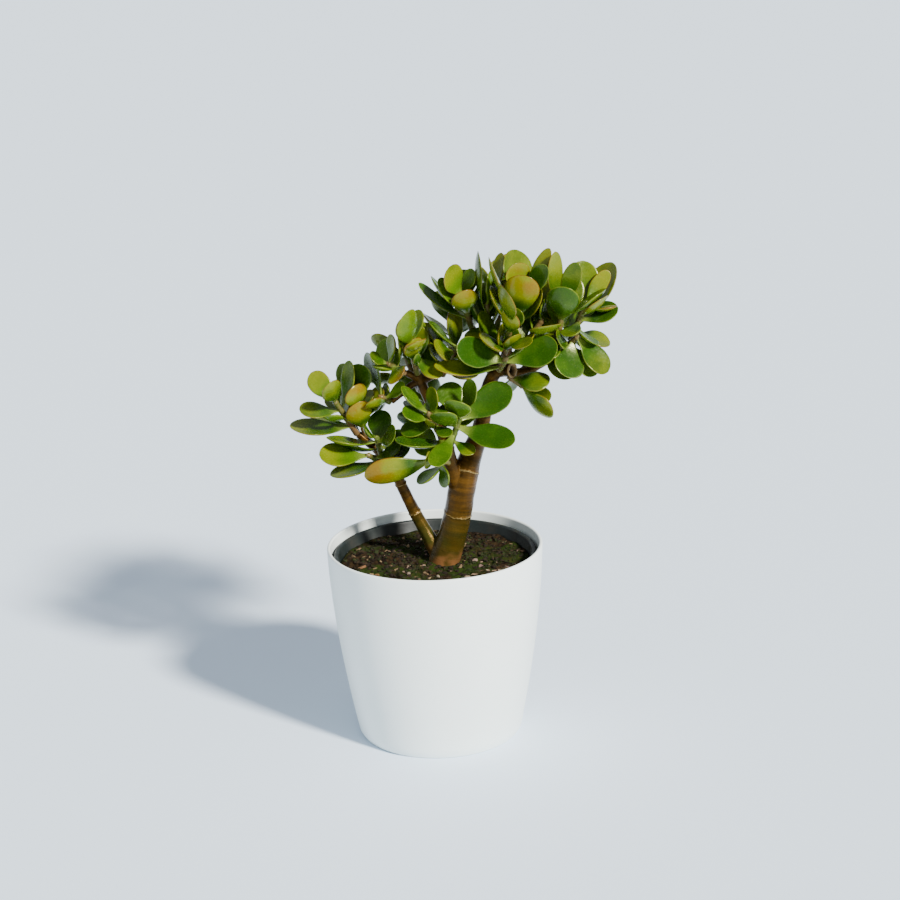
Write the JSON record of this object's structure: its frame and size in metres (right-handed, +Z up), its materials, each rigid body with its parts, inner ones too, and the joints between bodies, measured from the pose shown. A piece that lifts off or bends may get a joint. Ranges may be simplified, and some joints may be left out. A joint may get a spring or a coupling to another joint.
{
  "type": "potted jade bonsai",
  "caption": "Jade bonsai with a forked woody trunk and thick glossy leaves, in soil in a nursery pot that stands inside a round white cachepot.",
  "frame": {"origin": "middle of the cachepot's flat underside", "axes": "+Z up along the pots' axis; the picture looks along +Y and a little down, with +X to its right"},
  "size_m": [0.2939, 0.194, 0.4498],
  "materials": {
    "pot_white": "satin moulded plastic",
    "liner_dark": "thin dark nursery plastic",
    "soil": "dark crumbly potting soil with wood chips and small stones",
    "bark": "glossy bronze-brown succulent bark with pale scar rings",
    "leaf": "waxy fleshy leaf, yellow-green to orange where the sun reaches it"
  },
  "bodies": {
    "root": {"cachepot": "pot_white", "liner_pot": "liner_dark", "soil": "soil", "trunk": "bark", "shoot_far_left": "leaf", "shoot_far_left_up": "leaf", "shoot_low_left": "leaf", "shoot_low_left_up": "leaf", "shoot_low_middle": "leaf", "shoot_low_right": "leaf", "shoot_inner_left": "leaf", "shoot_droop": "leaf", "shoot_left_mid": "leaf", "shoot_left_up": "leaf", "shoot_middle_up": "leaf", "shoot_crown_front": "leaf", "shoot_front_up": "leaf", "shoot_top_right": "leaf", "shoot_top_left": "leaf", "shoot_top_mid": "leaf", "shoot_right_front": "leaf", "shoot_right_far": "leaf", "shoot_right_down": "leaf", "shoot_right_low": "leaf", "shoot_back_left": "leaf", "shoot_back_mid": "leaf", "shoot_back_top": "leaf", "shoot_back_right": "leaf", "shoot_back_low": "leaf", "shoot_back_far_left": "leaf", "shoot_right_mid": "leaf"}
  },
  "joints": []
}
